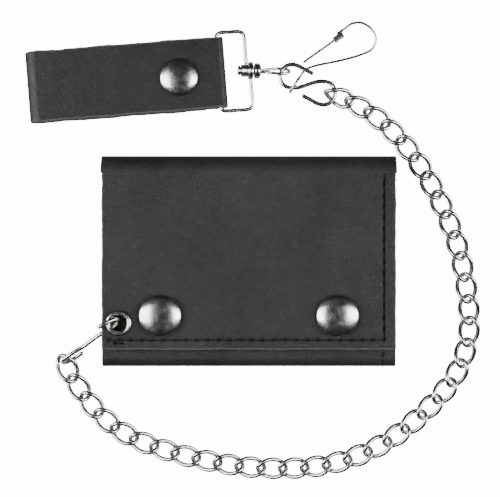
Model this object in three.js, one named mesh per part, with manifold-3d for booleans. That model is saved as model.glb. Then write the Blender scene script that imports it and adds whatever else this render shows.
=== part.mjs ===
// Chain wallet: a folded leather wallet, a curb chain and a belt strap with a ring and a wire snap hook.
// Millimetres, +Z up. The wallet lies closed on its back, with the origin at the centre of its back face.
import * as THREE from 'three';
import { mergeVertices } from 'three/addons/utils/BufferGeometryUtils.js';
import Module from 'manifold-3d';

const wasm = await Module();
wasm.setup();

// ---- driving dimensions ----
const WALLET_WIDTH = 108.4;
const WALLET_HALF_HEIGHT = 39.2;
const LEATHER = 1.4;
const LINING = 0.6;
const GAP = 0.3;

const FRONT_PANEL_TOP = 7.9;
const FLAP_UNDERSIDE = 11.0;
const FLAP_TOP = FLAP_UNDERSIDE + LINING + GAP + LEATHER;
const FLAP_FREE_EDGE = -32.5;
const FRONT_PANEL_EDGE = 30;
const FOLD_GAP_DEG = 8;

const SNAP_X = 32.6;
const SNAP_Y = -20;
const SNAP_CAP_RADIUS = 7.85;
const STRAP_CAP_RADIUS = 7.05;
const SNAP_POST_HOLE = 3.6;
const STUD_POST_HOLE = 1.8;

const EYELET = new THREE.Vector3(-47.9, -22.7, 0);
const EYELET_HOLE = 3.9;

const HOOK_WIRE = 0.82;
const HOOK_CURL = 4.5;
const HOOK_HALF_SPAN = 6.5;

const LINKS = 37;
const LINK_HALF_LENGTH = 5.3;
const LINK_HALF_WIDTH = 3.35;
const LINK_WIRE = 0.85;
const LINK_TWIST_DEG = -45;

const STRAP_WIDTH = 26.5;
const STRAP_THICKNESS = 1.5;
const STRAP_LENGTH = 71.5;
const STRAP_TOP = 8.7;
const STRAP_TURN_BACK_UNDERSIDE = 3.6;
const STRAP_SNAP_U = -14.8;
const STRAP_SNAP_V = -0.8;
const BAR_HEIGHT = 6.15;
const STRAP_BAR = new THREE.Vector3(-11.2, 70.2, 0);
const STRAP_ANGLE = THREE.MathUtils.degToRad(4.5);
const SWIVEL_DROOP = THREE.MathUtils.degToRad(6.6);

const RING_WIRE = 0.75;
const SNAP_HOOK_WIRE = 0.5;

// ---- materials ----
const leather = () => new THREE.MeshStandardMaterial({ color: 0x1d1c1c, roughness: 0.55, metalness: 0 });
const lining = () => new THREE.MeshStandardMaterial({ color: 0x161515, roughness: 0.8, metalness: 0 });
const clear = () => new THREE.MeshStandardMaterial({ color: 0xd8dcdc, roughness: 0.15, metalness: 0 });
const nickel = () => new THREE.MeshStandardMaterial({ color: 0xb9b8b2, roughness: 0.22, metalness: 1 });

const object = new THREE.Group();
const strapFrame = new THREE.Group();
strapFrame.position.copy(STRAP_BAR);
strapFrame.rotation.z = STRAP_ANGLE;
object.add(strapFrame);
const swivelFrame = new THREE.Group();
swivelFrame.position.z = BAR_HEIGHT;
swivelFrame.rotation.y = SWIVEL_DROOP;
strapFrame.add(swivelFrame);

function addPiece(name, geometry, material, parent = object) {
  const mesh = new THREE.Mesh(geometry, material);
  mesh.name = name;
  parent.add(mesh);
  return mesh;
}

// ---- solids: welding, cutting and joining ----
function weld(geometry) {
  const bare = geometry.clone();
  bare.deleteAttribute('normal');
  bare.deleteAttribute('uv');
  return mergeVertices(bare, 1e-4);
}

function toSolid(geometry) {
  const welded = weld(geometry);
  return new wasm.Manifold(new wasm.Mesh({
    numProp: 3,
    vertProperties: new Float32Array(welded.attributes.position.array),
    triVerts: new Uint32Array(welded.index.array),
  }));
}

function toGeometry(solid) {
  const mesh = solid.getMesh();
  const geometry = new THREE.BufferGeometry();
  geometry.setAttribute('position', new THREE.BufferAttribute(mesh.vertProperties, 3));
  geometry.setIndex(new THREE.BufferAttribute(mesh.triVerts, 1));
  geometry.computeVertexNormals();
  return geometry;
}

function cut(geometry, tools) {
  let solid = toSolid(geometry);
  for (const tool of tools) solid = solid.subtract(toSolid(tool));
  return toGeometry(solid);
}

function join(geometries) {
  let solid = toSolid(geometries[0]);
  for (const other of geometries.slice(1)) solid = solid.add(toSolid(other));
  return toGeometry(solid);
}

// A vertical punch, used for holes through leather.
function punch(x, y, radius, bottom, top) {
  const tool = new THREE.CylinderGeometry(radius, radius, top - bottom, 16);
  tool.rotateX(Math.PI / 2);
  tool.translate(x, y, (top + bottom) / 2);
  return tool;
}

// ---- sheets and wires ----
// A sheet that is seen edge-on: inner and outer outlines in (depth, height), extruded across its width.
function sheetAlongX(outline, width) {
  const shape = new THREE.Shape(outline.map(([y, z]) => new THREE.Vector2(y, z)));
  const geometry = new THREE.ExtrudeGeometry(shape, { depth: width, bevelEnabled: false });
  geometry.applyMatrix4(new THREE.Matrix4().makeBasis(
    new THREE.Vector3(0, 1, 0), new THREE.Vector3(0, 0, 1), new THREE.Vector3(1, 0, 0)));
  geometry.translate(-width / 2, 0, 0);
  return geometry;
}

function sheetAlongV(outline, width) {
  const shape = new THREE.Shape(outline.map(([u, z]) => new THREE.Vector2(u, z)));
  const geometry = new THREE.ExtrudeGeometry(shape, { depth: width, bevelEnabled: false });
  geometry.rotateX(Math.PI / 2);
  geometry.translate(0, width / 2, 0);
  return geometry;
}

function arc(centreY, centreZ, radius, fromDeg, toDeg, steps) {
  const points = [];
  for (let i = 0; i <= steps; i += 1) {
    const angle = THREE.MathUtils.degToRad(fromDeg + ((toDeg - fromDeg) * i) / steps);
    points.push([centreY + radius * Math.cos(angle), centreZ + radius * Math.sin(angle)]);
  }
  return points;
}

function wireSection(radius, sides) {
  const corners = [];
  for (let i = 0; i < sides; i += 1) {
    const angle = (2 * Math.PI * i) / sides;
    corners.push(new THREE.Vector2(radius * Math.cos(angle), radius * Math.sin(angle)));
  }
  return new THREE.Shape(corners);
}

// An open wire through the given points, with flat ends.
function wire(points, radius, steps) {
  const path = new THREE.CatmullRomCurve3(points, false, 'centripetal');
  return new THREE.ExtrudeGeometry(wireSection(radius, 6), { steps, extrudePath: path, bevelEnabled: false });
}

// ---- wallet leather ----
const foldCentreZ = FLAP_TOP / 2;
const foldRadius = FLAP_TOP / 2;
const foldCentreY = WALLET_HALF_HEIGHT - foldRadius;
const bottomRadius = FRONT_PANEL_TOP / 2;
const bottomCentreY = -WALLET_HALF_HEIGHT + bottomRadius;

// The back panel, the bottom fold and the front panel that folds up from it are one hide.
const backOutline = [
  ...arc(foldCentreY, foldCentreZ, foldRadius, -45 - FOLD_GAP_DEG, -90, 4),
  ...arc(bottomCentreY, bottomRadius, bottomRadius, -90, -270, 10),
  [FRONT_PANEL_EDGE, FRONT_PANEL_TOP],
  [FRONT_PANEL_EDGE, FRONT_PANEL_TOP - LEATHER],
  ...arc(bottomCentreY, bottomRadius, bottomRadius - LEATHER, -270, -90, 10),
  ...arc(foldCentreY, foldCentreZ, foldRadius - LEATHER, -90, -45 - FOLD_GAP_DEG, 4),
];
const studHoles = [-1, 1].map((side) => punch(side * SNAP_X, SNAP_Y, STUD_POST_HOLE, FRONT_PANEL_TOP - 3, 9));
addPiece('outer_back', cut(sheetAlongX(backOutline, WALLET_WIDTH), studHoles), leather());

// The lining follows the same fold, one gap inside the hide.
const liningRadius = bottomRadius - LEATHER - GAP;
const liningOutline = [
  [foldCentreY, LEATHER + GAP],
  ...arc(bottomCentreY, bottomRadius, liningRadius, -90, -270, 8),
  [FRONT_PANEL_EDGE - 0.5, bottomRadius + liningRadius],
  [FRONT_PANEL_EDGE - 0.5, bottomRadius + liningRadius - LINING],
  ...arc(bottomCentreY, bottomRadius, liningRadius - LINING, -270, -90, 8),
  [foldCentreY, LEATHER + GAP + LINING],
];
addPiece('lining_back', sheetAlongX(liningOutline, WALLET_WIDTH - 1), lining());

// Card pockets lie in steps on the back lining; the window pocket hangs under the front panel.
function plate(width, height, thickness, radius, x, y, z) {
  const shape = new THREE.Shape();
  shape.moveTo(-width / 2 + radius, -height / 2);
  shape.lineTo(width / 2 - radius, -height / 2);
  shape.absarc(width / 2 - radius, -height / 2 + radius, radius, -Math.PI / 2, 0, false);
  shape.absarc(width / 2 - radius, height / 2 - radius, radius, 0, Math.PI / 2, false);
  shape.absarc(-width / 2 + radius, height / 2 - radius, radius, Math.PI / 2, Math.PI, false);
  shape.absarc(-width / 2 + radius, -height / 2 + radius, radius, Math.PI, Math.PI * 1.5, false);
  const geometry = new THREE.ExtrudeGeometry(shape, { depth: thickness, bevelEnabled: false, curveSegments: 3 });
  geometry.translate(x, y, z);
  return geometry;
}
const POCKET = 0.4;
const pocketFloor = LEATHER + GAP + LINING + GAP;
addPiece('card_pocket_upper', plate(98, 52, POCKET, 1.5, 0, 1, pocketFloor), lining());
addPiece('card_pocket_lower', plate(98, 38, POCKET, 1.5, 0, -6, pocketFloor + POCKET + GAP), lining());
addPiece('id_window', plate(92, 54, 0.4, 2, 0, -2, pocketFloor + 2 * (POCKET + GAP)), clear());

// The top fold: the middle of the arc is the spine, which turns against the back and against the flap.
const spineOutline = [
  ...arc(foldCentreY, foldCentreZ, foldRadius, -45 + FOLD_GAP_DEG, 45 - FOLD_GAP_DEG, 8),
  ...arc(foldCentreY, foldCentreZ, foldRadius - LEATHER, 45 - FOLD_GAP_DEG, -45 + FOLD_GAP_DEG, 8),
];
addPiece('outer_spine', sheetAlongX(spineOutline, WALLET_WIDTH), leather());

const flapOutline = [
  ...arc(foldCentreY, foldCentreZ, foldRadius, 45 + FOLD_GAP_DEG, 90, 4),
  [FLAP_FREE_EDGE, FLAP_TOP],
  [FLAP_FREE_EDGE, FLAP_TOP - LEATHER],
  ...arc(foldCentreY, foldCentreZ, foldRadius - LEATHER, 90, 45 + FOLD_GAP_DEG, 4),
];
const flapHoles = [
  punch(-SNAP_X, SNAP_Y, SNAP_POST_HOLE, 5, 20),
  punch(SNAP_X, SNAP_Y, SNAP_POST_HOLE, 5, 20),
  punch(EYELET.x, EYELET.y, EYELET_HOLE, 5, 20),
];
addPiece('outer_flap', cut(sheetAlongX(flapOutline, WALLET_WIDTH), flapHoles), leather());
const flapLiningOutline = [
  [foldCentreY, FLAP_UNDERSIDE + LINING],
  [FLAP_FREE_EDGE + 0.3, FLAP_UNDERSIDE + LINING],
  [FLAP_FREE_EDGE + 0.3, FLAP_UNDERSIDE],
  [foldCentreY, FLAP_UNDERSIDE],
];
addPiece('lining_flap', cut(sheetAlongX(flapLiningOutline, WALLET_WIDTH - 0.6), flapHoles), lining());

// ---- snaps and eyelet ----
function lathe(profile, segments) {
  const geometry = new THREE.LatheGeometry(profile.map(([r, z]) => new THREE.Vector2(r, z)), segments);
  geometry.rotateX(Math.PI / 2);
  return geometry;
}

// Domed cap, its post through the leather and the socket riveted under it.
function snapCap(radius, dome, leatherTop, leatherBottom, socketBottom) {
  const rim = leatherTop + GAP;
  return lathe([
    [0, leatherBottom + 0.8],
    [2.5, leatherBottom + 0.8],
    [2.5, socketBottom],
    [5.2, socketBottom],
    [5.2, leatherBottom - GAP],
    [SNAP_POST_HOLE - 0.4, leatherBottom - GAP],
    [SNAP_POST_HOLE - 0.4, rim],
    [radius - 0.4, rim],
    [radius, rim + 0.4],
    [radius * 0.94, rim + 0.35 + dome * 0.35],
    [radius * 0.72, rim + 0.35 + dome * 0.72],
    [radius * 0.4, rim + 0.35 + dome * 0.94],
    [0, rim + 0.35 + dome],
  ], 20);
}

// Stud: a flange on the leather, a nub that clicks into the socket and a post through the leather.
function snapStud(leatherTop, postBottom, flange, nubTop) {
  return lathe([
    [0, postBottom],
    [STUD_POST_HOLE - GAP, postBottom],
    [STUD_POST_HOLE - GAP, leatherTop + GAP],
    [5.0, leatherTop + GAP],
    [5.0, leatherTop + GAP + flange],
    [1.8, leatherTop + GAP + flange],
    [2.1, nubTop - 0.5],
    [1.6, nubTop],
    [0, nubTop],
  ], 16);
}

for (const [side, label] of [[-1, 'left'], [1, 'right']]) {
  const cap = addPiece(`snap_cap_${label}`,
    snapCap(SNAP_CAP_RADIUS, 2.3, FLAP_TOP, FLAP_UNDERSIDE, 9.6), nickel());
  cap.position.set(side * SNAP_X, SNAP_Y, 0);
  const stud = addPiece(`snap_stud_${label}`,
    snapStud(FRONT_PANEL_TOP, FRONT_PANEL_TOP - LEATHER + 0.1, 0.7, 10.9), nickel());
  stud.position.set(side * SNAP_X, SNAP_Y, 0);
}

const eyelet = addPiece('eyelet', lathe([
  [3.0, FLAP_UNDERSIDE - 0.75],
  [4.7, FLAP_UNDERSIDE - 0.75],
  [4.7, FLAP_UNDERSIDE - GAP],
  [3.5, FLAP_UNDERSIDE - GAP],
  [3.5, FLAP_TOP + GAP],
  [4.7, FLAP_TOP + GAP],
  [4.45, FLAP_TOP + 0.85],
  [3.9, FLAP_TOP + 1.05],
  [3.3, FLAP_TOP + 0.85],
  [3.0, FLAP_TOP + 0.3],
  [3.0, FLAP_UNDERSIDE - 0.75],
], 20), nickel());
eyelet.position.set(EYELET.x, EYELET.y, 0);

// ---- S-hooks ----
// Flat S: two open curls on a slanting shank, each ending in a straight arm that stands clear of it.
function sHookPoints() {
  const half = [new THREE.Vector3(-0.4, HOOK_CURL, 0), new THREE.Vector3(-HOOK_HALF_SPAN * 0.55, HOOK_CURL, 0)];
  for (let deg = 90; deg <= 260; deg += 34) {
    const angle = THREE.MathUtils.degToRad(deg);
    half.push(new THREE.Vector3(-HOOK_HALF_SPAN + HOOK_CURL * Math.cos(angle), HOOK_CURL * Math.sin(angle), 0));
  }
  half.push(new THREE.Vector3(-HOOK_HALF_SPAN * 0.5, -HOOK_CURL * 0.68, 0));
  const other = half.map((p) => new THREE.Vector3(-p.x, -p.y, 0)).reverse();
  return [...half, ...other];
}

// Wallet hook: through the eyelet, down under the flap's side edge and out to the chain.
const WALLET_HOOK_AZIMUTH = THREE.MathUtils.degToRad(211);
const WALLET_HOOK_TILT = THREE.MathUtils.degToRad(20);
const hookOut = new THREE.Vector3(Math.cos(WALLET_HOOK_AZIMUTH), Math.sin(WALLET_HOOK_AZIMUTH), 0);
const hookSide = new THREE.Vector3(Math.sin(WALLET_HOOK_AZIMUTH), -Math.cos(WALLET_HOOK_AZIMUTH), 0);
const hookUp = new THREE.Vector3(0, 0, Math.cos(WALLET_HOOK_TILT))
  .addScaledVector(hookSide, Math.sin(WALLET_HOOK_TILT));
// Points along the wire as (distance outwards from the eyelet, height up the hook's own plane).
const WALLET_HOOK_ROUTE = [
  [6.6, 16.1], [4.4, 16.2], [2.4, 15.7], [0.1, 14.4], [-0.7, 12.3], [0.0, 10.2], [2.0, 9.1], [4.6, 8.95],
  [8.0, 8.9], [12.0, 8.1], [16.0, 7.0], [20.0, 6.9], [22.6, 6.7], [25.2, 5.4], [26.1, 3.6], [25.1, 1.8],
  [22.8, 0.95], [20.6, 1.0], [18.6, 1.7],
];
const HOOK_PLANE_HEIGHT = 8.95;
const walletHookPoints = WALLET_HOOK_ROUTE.map(([out, up]) => new THREE.Vector3(EYELET.x, EYELET.y, 0)
  .addScaledVector(hookOut, out)
  .addScaledVector(hookUp, up - HOOK_PLANE_HEIGHT)
  .add(new THREE.Vector3(0, 0, HOOK_PLANE_HEIGHT)));
addPiece('s_hook_wallet', wire(walletHookPoints, HOOK_WIRE, 44), nickel());

// Strap hook: lies flat between the swivel and the last link.
const STRAP_HOOK = new THREE.Vector3(22.0, 66.0, 3.6);
const STRAP_HOOK_AZIMUTH = THREE.MathUtils.degToRad(-28);
const strapHook = addPiece('s_hook_strap', wire(sHookPoints(), HOOK_WIRE, 48), nickel());
strapHook.position.copy(STRAP_HOOK);
strapHook.rotation.z = STRAP_HOOK_AZIMUTH;

// ---- chain ----
// The chain's lie, from the wallet hook round the wallet to the strap hook, as points on its centreline.
const CHAIN_ROUTE = [
  [-69.7, -36.4, 3.0], [-67.1, -41.8, 2.75], [-63.0, -48.3, 2.35], [-55.3, -57.9, 2.35], [-45.5, -65.2, 2.35],
  [-30.0, -71.1, 2.35], [-9.0, -75.9, 2.35], [12.0, -77.6, 2.35], [32.2, -75.6, 2.35], [51.0, -68.0, 2.35],
  [67.4, -54.9, 2.35], [78.3, -41.3, 2.35], [82.6, -26.5, 2.35], [81.6, -10.8, 2.35], [78.3, 5.7, 2.35],
  [72.3, 21.1, 2.35], [64.1, 36.0, 2.35], [54.0, 48.6, 2.5], [41.5, 58.0, 3.2], [29.8, 62.9, 3.6],
].map((p) => new THREE.Vector3(...p));
const chainCurve = new THREE.CatmullRomCurve3(CHAIN_ROUTE, false, 'centripetal');
chainCurve.arcLengthDivisions = 2000;

// One curb link: a rounded oval whose plane turns evenly from end to end.
class LinkCurve extends THREE.Curve {
  getPoint(t, target = new THREE.Vector3()) {
    const c = Math.cos(2 * Math.PI * t);
    const s = Math.sin(2 * Math.PI * t);
    const squareness = 2 / 2.25;
    const x = LINK_HALF_LENGTH * Math.sign(c) * Math.abs(c) ** squareness;
    const y = LINK_HALF_WIDTH * Math.sign(s) * Math.abs(s) ** squareness;
    const turn = THREE.MathUtils.degToRad(LINK_TWIST_DEG) * (x / LINK_HALF_LENGTH);
    return target.set(x, y * Math.cos(turn), y * Math.sin(turn));
  }
}
const linkGeometry = new THREE.TubeGeometry(new LinkCurve(), 14, LINK_WIRE, 6, true);
// Extra roll about the chain's own line where the last links meet the flat strap hook.
const END_ROLL_DEG = [-38, -26, -14, -5];
function linkRoll(index) {
  return END_ROLL_DEG[LINKS - 1 - index] ?? 0;
}
for (let i = 0; i < LINKS; i += 1) {
  const start = chainCurve.getPointAt(i / LINKS);
  const end = chainCurve.getPointAt((i + 1) / LINKS);
  const link = addPiece(`chain_link_${String(i + 1).padStart(2, '0')}`, linkGeometry, nickel());
  const along = end.clone().sub(start).normalize();
  const across = new THREE.Vector3(0, 0, 1).cross(along).normalize();
  const up = along.clone().cross(across);
  link.quaternion.setFromRotationMatrix(new THREE.Matrix4().makeBasis(along, across, up));
  link.rotateX(THREE.MathUtils.degToRad(linkRoll(i)));
  link.position.copy(start).add(end).multiplyScalar(0.5);
}

// ---- ring and swivel, along the strap's own axis ----
const RING_TOP = 14.8;
const RING_BOTTOM = -14.4;
const ringPath = [
  [10.5, 3.0], [10.5, 8.0], [10.5, 12.6], [9.9, 14.2], [8.4, RING_TOP], [5.0, RING_TOP], [2.0, RING_TOP], [0.6, 14.3],
  [0, 12.8], [0, 6.0], [0, -6.0], [0, -13.0], [0.45, -14.1], [1.6, RING_BOTTOM], [6.0, RING_BOTTOM],
  [9.6, RING_BOTTOM], [11.2, -13.8], [11.75, -12.2], [11.75, -7.0], [11.75, -2.0],
].map(([u, v]) => new THREE.Vector3(u, v, 0));
// The swivel's axis crosses the ring's side at a slight angle, so it lies square to the object's own X.
const SWIVEL_U = 11;
const SWIVEL_V = 0;
function ontoSwivelAxis(geometry) {
  geometry.translate(-SWIVEL_U, 0, 0);
  geometry.rotateZ(-STRAP_ANGLE);
  geometry.translate(SWIVEL_U, SWIVEL_V, 0);
  return geometry;
}
function alongU(geometry, u) {
  geometry.rotateY(Math.PI / 2);
  geometry.translate(u, 0, 0);
  return ontoSwivelAxis(geometry);
}
function tubeSolid(inner, outer, length) {
  return lathe([[inner, 0], [outer, 0], [outer, length], [inner, length], [inner, 0]], 16);
}
const ringCollar = join([
  alongU(tubeSolid(1.25, 2.35, 4.2), 8.4),
  alongU(tubeSolid(1.25, 3.3, 1.8), 11.0),
]);
const ringWire = cut(wire(ringPath, RING_WIRE, 60), [alongU(lathe([[0, -4], [1.8, -4], [1.8, 8], [0, 8]], 12), 8)]);
addPiece('strap_ring', join([ringCollar, ringWire]), nickel(), swivelFrame);

const EYE_PLANE = THREE.MathUtils.degToRad(-65);
const eyePath = [
  [14.6, 0.9], [17.0, 1.3], [20.0, 2.4], [23.0, 3.0], [25.6, 2.3], [26.6, 0], [25.6, -2.3], [23.0, -3.0],
  [20.0, -2.4], [17.0, -1.3], [14.6, -0.9],
].map(([u, w]) => new THREE.Vector3(u, w * Math.cos(EYE_PLANE), w * Math.sin(EYE_PLANE)));
const swivelShank = alongU(lathe([
  [0, 0], [1.9, 0], [1.9, 0.9], [0.95, 0.9], [0.95, 6.2], [2.9, 6.2], [2.9, 8.0], [2.1, 8.6], [0, 8.6],
], 14), 7.2);
addPiece('swivel_eye', join([swivelShank, ontoSwivelAxis(wire(eyePath, 0.6, 30))]), nickel(), swivelFrame);

// ---- wire snap hook: eye round the strap hook's shank, shoulder, bow, and a sprung gate with a catch ----
const SNAP_EYE = new THREE.Vector3(16.5, 64.9, 0);
const SNAP_EYE_AZIMUTH = THREE.MathUtils.degToRad(57);
const eyeDirection = new THREE.Vector3(Math.cos(SNAP_EYE_AZIMUTH), Math.sin(SNAP_EYE_AZIMUTH), 0);
const eyePoint = (out, z) => SNAP_EYE.clone().addScaledVector(eyeDirection, out).setZ(z);
const snapHookPoints = [
  eyePoint(4.9, 3.7), eyePoint(3.4, 4.9), eyePoint(1.6, 5.6), eyePoint(0, 5.5), eyePoint(-1.6, 4.5),
  eyePoint(-2.0, 3.0), eyePoint(-1.0, 1.4), eyePoint(0.8, 0.85), eyePoint(4.0, 0.85), eyePoint(7.6, 0.9),
  ...[[23.5, 72.9, 1.0], [34.5, 75.3, 1.6], [42.0, 77.4, 1.9], [46.3, 79.6, 2.0], [47.6, 83.2, 2.0],
    [46.0, 86.9, 2.0], [42.3, 89.3, 2.0], [38.6, 89.0, 2.0], [35.6, 86.9, 2.0], [33.2, 85.3, 2.0],
  ].map((p) => new THREE.Vector3(...p)),
];
addPiece('snap_hook', wire(snapHookPoints, SNAP_HOOK_WIRE, 60), nickel());

const GATE_ROOT = new THREE.Vector3(20.6, 74.6, 2.0);
const GATE_TIP = new THREE.Vector3(35.2, 85.0, 2.0);
const gateDirection = GATE_TIP.clone().sub(GATE_ROOT).normalize();
const gateAngle = Math.atan2(gateDirection.y, gateDirection.x);
const gateLength = GATE_TIP.distanceTo(GATE_ROOT);
const gateWire = new THREE.ExtrudeGeometry(wireSection(SNAP_HOOK_WIRE, 8),
  { depth: gateLength - 3.2, bevelEnabled: false });
gateWire.rotateY(Math.PI / 2);
// The catch is a strip folded to a channel, open towards the outside, that holds the bow's tip.
const CATCH = 1.15;
const catchShape = new THREE.Shape([
  [-CATCH, -CATCH], [CATCH, -CATCH], [CATCH, -CATCH + 0.3], [-CATCH + 0.35, -CATCH + 0.3],
  [-CATCH + 0.35, CATCH - 0.3], [CATCH, CATCH - 0.3], [CATCH, CATCH], [-CATCH, CATCH],
].map(([a, b]) => new THREE.Vector2(a, b)));
const catchChannel = new THREE.ExtrudeGeometry(catchShape, { depth: 3.6, bevelEnabled: false });
catchChannel.applyMatrix4(new THREE.Matrix4().makeBasis(
  new THREE.Vector3(0, 1, 0), new THREE.Vector3(0, 0, 1), new THREE.Vector3(1, 0, 0)));
catchChannel.translate(gateLength - 3.5, 0, 0);
const catchRoot = new THREE.BoxGeometry(0.8, 2 * CATCH, 2 * CATCH);
catchRoot.translate(gateLength - 3.6, 0, 0);
const gate = addPiece('hook_gate', join([gateWire, catchChannel, catchRoot]), nickel());
gate.position.copy(GATE_ROOT);
gate.rotation.z = gateAngle;

// ---- belt strap: one strip, folded round the ring's bar, snapped back on itself ----
const leafTopUnder = STRAP_TOP - STRAP_THICKNESS;
const turnBackTop = STRAP_TURN_BACK_UNDERSIDE + STRAP_THICKNESS;
const barInner = (leafTopUnder - turnBackTop) / 2;
const barOuter = barInner + STRAP_THICKNESS;
const TURN_BACK_LENGTH = 26;
const bendRadius = STRAP_TOP / 2;
const bendCentre = -STRAP_LENGTH + bendRadius;
const BEND_GAP_DEG = 16;
const strapFrontOutline = [
  [-TURN_BACK_LENGTH, turnBackTop],
  [-TURN_BACK_LENGTH, STRAP_TURN_BACK_UNDERSIDE],
  ...arc(0, BAR_HEIGHT, barOuter, -90, 90, 10),
  ...arc(bendCentre, bendRadius, bendRadius, 90, 180 - BEND_GAP_DEG, 6),
  ...arc(bendCentre, bendRadius, bendRadius - STRAP_THICKNESS, 180 - BEND_GAP_DEG, 90, 6),
  ...arc(0, BAR_HEIGHT, barInner, 90, -90, 8),
];
const strapHoles = [punch(STRAP_SNAP_U, STRAP_SNAP_V, SNAP_POST_HOLE, 2, 12)];
addPiece('strap_front', cut(sheetAlongV(strapFrontOutline, STRAP_WIDTH), strapHoles), leather(), strapFrame);
const strapBackOutline = [
  ...arc(bendCentre, bendRadius, bendRadius, 180 + BEND_GAP_DEG, 270, 6),
  [-5.5, 0],
  [-5.5, STRAP_THICKNESS],
  ...arc(bendCentre, bendRadius, bendRadius - STRAP_THICKNESS, 270, 180 + BEND_GAP_DEG, 6),
];
const strapStudHole = [punch(STRAP_SNAP_U, STRAP_SNAP_V, STUD_POST_HOLE, -1, 3)];
addPiece('strap_back', cut(sheetAlongV(strapBackOutline, STRAP_WIDTH), strapStudHole), leather(), strapFrame);

const strapCap = addPiece('strap_snap_cap',
  snapCap(STRAP_CAP_RADIUS, 2.0, STRAP_TOP, STRAP_TURN_BACK_UNDERSIDE, 2.6), nickel(), strapFrame);
strapCap.position.set(STRAP_SNAP_U, STRAP_SNAP_V, 0);
const strapStud = addPiece('strap_snap_stud', snapStud(STRAP_THICKNESS, 0.1, 0.45, 3.9), nickel(), strapFrame);
strapStud.position.set(STRAP_SNAP_U, STRAP_SNAP_V, 0);

export default object;
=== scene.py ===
"""Looks of the chain wallet: fine leather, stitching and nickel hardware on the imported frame.

Helper dimensions are in millimetres and are turned into metres as each mesh is made.
"""
import math

import bpy
import numpy as np
from mathutils import Matrix, Vector


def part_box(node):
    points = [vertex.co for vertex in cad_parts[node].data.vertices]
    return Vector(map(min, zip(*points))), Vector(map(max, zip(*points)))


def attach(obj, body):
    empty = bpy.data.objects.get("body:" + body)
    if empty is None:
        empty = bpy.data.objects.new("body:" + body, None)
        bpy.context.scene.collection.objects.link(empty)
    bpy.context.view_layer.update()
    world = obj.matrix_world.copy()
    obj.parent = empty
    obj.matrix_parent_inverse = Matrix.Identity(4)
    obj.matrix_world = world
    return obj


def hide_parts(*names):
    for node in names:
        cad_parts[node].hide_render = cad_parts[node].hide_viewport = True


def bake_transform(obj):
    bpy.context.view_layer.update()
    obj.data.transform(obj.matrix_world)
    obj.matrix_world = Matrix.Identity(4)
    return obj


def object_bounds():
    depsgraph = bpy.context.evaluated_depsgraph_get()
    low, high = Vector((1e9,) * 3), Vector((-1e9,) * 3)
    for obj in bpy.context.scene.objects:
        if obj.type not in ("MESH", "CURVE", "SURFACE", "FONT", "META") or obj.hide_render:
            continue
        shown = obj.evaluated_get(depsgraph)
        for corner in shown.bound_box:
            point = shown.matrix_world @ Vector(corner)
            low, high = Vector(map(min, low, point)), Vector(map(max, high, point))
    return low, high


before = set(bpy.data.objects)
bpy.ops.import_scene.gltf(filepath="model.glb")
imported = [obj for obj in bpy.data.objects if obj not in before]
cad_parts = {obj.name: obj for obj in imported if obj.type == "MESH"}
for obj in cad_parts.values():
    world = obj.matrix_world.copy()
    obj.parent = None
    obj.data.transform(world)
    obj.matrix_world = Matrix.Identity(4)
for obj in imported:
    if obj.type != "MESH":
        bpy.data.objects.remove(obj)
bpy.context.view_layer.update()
MM = 0.001


# ---- camera ----
camera = bpy.data.objects.new("camera", bpy.data.cameras.new("camera"))
bpy.context.collection.objects.link(camera)
camera.location = (0.00044, 0.00478, 0.600)
camera.rotation_euler = (0, 0, 0)
camera.data.lens = 114.95
camera.data.sensor_width = 36
camera.data.clip_start = 0.01
bpy.context.scene.camera = camera


# ---- materials ----
def new_material(name):
    mat = bpy.data.materials.new(name)
    mat.use_nodes = True
    nodes, links = mat.node_tree.nodes, mat.node_tree.links
    shader = nodes["Principled BSDF"]
    coords = nodes.new("ShaderNodeTexCoord")
    return mat, nodes, links, shader, coords.outputs["Object"]


def noise_node(nodes, links, coords, scale, detail=4, rough=0.55, distortion=0.0):
    node = nodes.new("ShaderNodeTexNoise")
    node.inputs["Scale"].default_value = scale
    node.inputs["Detail"].default_value = detail
    node.inputs["Roughness"].default_value = rough
    node.inputs["Distortion"].default_value = distortion
    links.new(coords, node.inputs["Vector"])
    return node.outputs["Fac"]


def cells_node(nodes, links, coords, scale):
    node = nodes.new("ShaderNodeTexVoronoi")
    node.feature = "DISTANCE_TO_EDGE"
    node.inputs["Scale"].default_value = scale
    links.new(coords, node.inputs["Vector"])
    return node.outputs["Distance"]


def span(nodes, links, value, from_min, from_max, to_min, to_max):
    node = nodes.new("ShaderNodeMapRange")
    node.inputs["From Min"].default_value = from_min
    node.inputs["From Max"].default_value = from_max
    node.inputs["To Min"].default_value = to_min
    node.inputs["To Max"].default_value = to_max
    links.new(value, node.inputs["Value"])
    return node.outputs["Result"]


def ramp(nodes, links, value, stops):
    node = nodes.new("ShaderNodeValToRGB")
    for i, (at, color) in enumerate(stops):
        stop = node.color_ramp.elements[i] if i < 2 else node.color_ramp.elements.new(at)
        stop.position = at
        stop.color = (*color, 1)
    links.new(value, node.inputs["Fac"])
    return node.outputs["Color"]


def bump(nodes, links, height, strength, distance, under=None):
    node = nodes.new("ShaderNodeBump")
    node.inputs["Strength"].default_value = strength
    node.inputs["Distance"].default_value = distance
    links.new(height, node.inputs["Height"])
    if under is not None:
        links.new(under, node.inputs["Normal"])
    return node.outputs["Normal"]


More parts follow.
